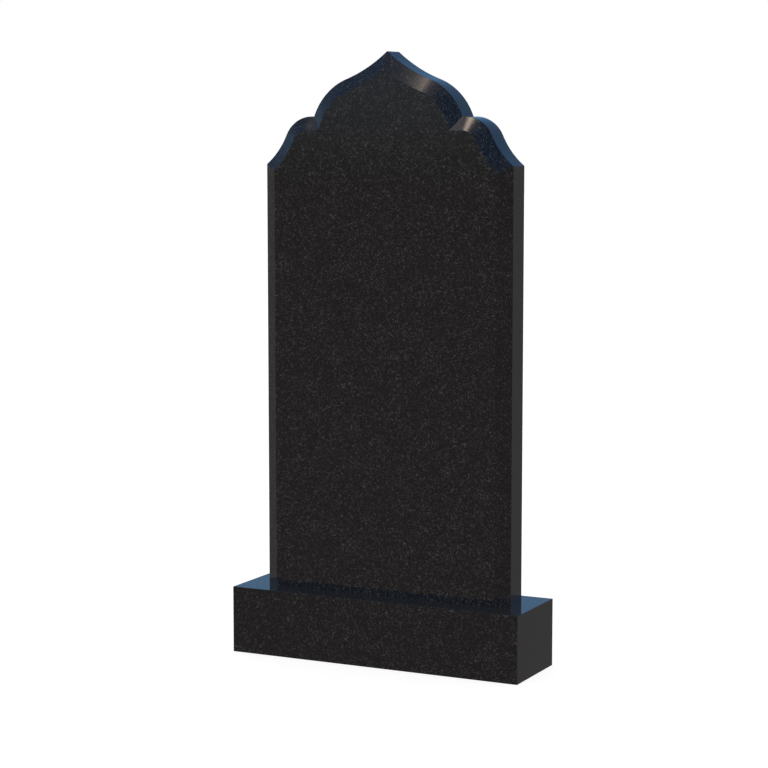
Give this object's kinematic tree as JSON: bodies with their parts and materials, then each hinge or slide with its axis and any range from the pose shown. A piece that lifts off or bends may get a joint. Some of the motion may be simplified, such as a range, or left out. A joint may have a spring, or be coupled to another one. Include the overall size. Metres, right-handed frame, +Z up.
{
  "type": "headstone",
  "caption": "Upright headstone slab of polished black granite with a pointed ogee arch between ogee shoulders and a wide front chamfer, standing on a plain rectangular plinth.",
  "frame": {"origin": "middle of the plinth's underside", "axes": "+Z up the stone, +X to the right as seen from the front, and the front faces -Y"},
  "size_m": [0.7, 0.2, 1.3503],
  "materials": {
    "slab_granite": "polished black granite",
    "plinth_granite": "polished black granite"
  },
  "bodies": {
    "root": {"headstone_slab": "slab_granite", "plinth": "plinth_granite"}
  },
  "joints": []
}
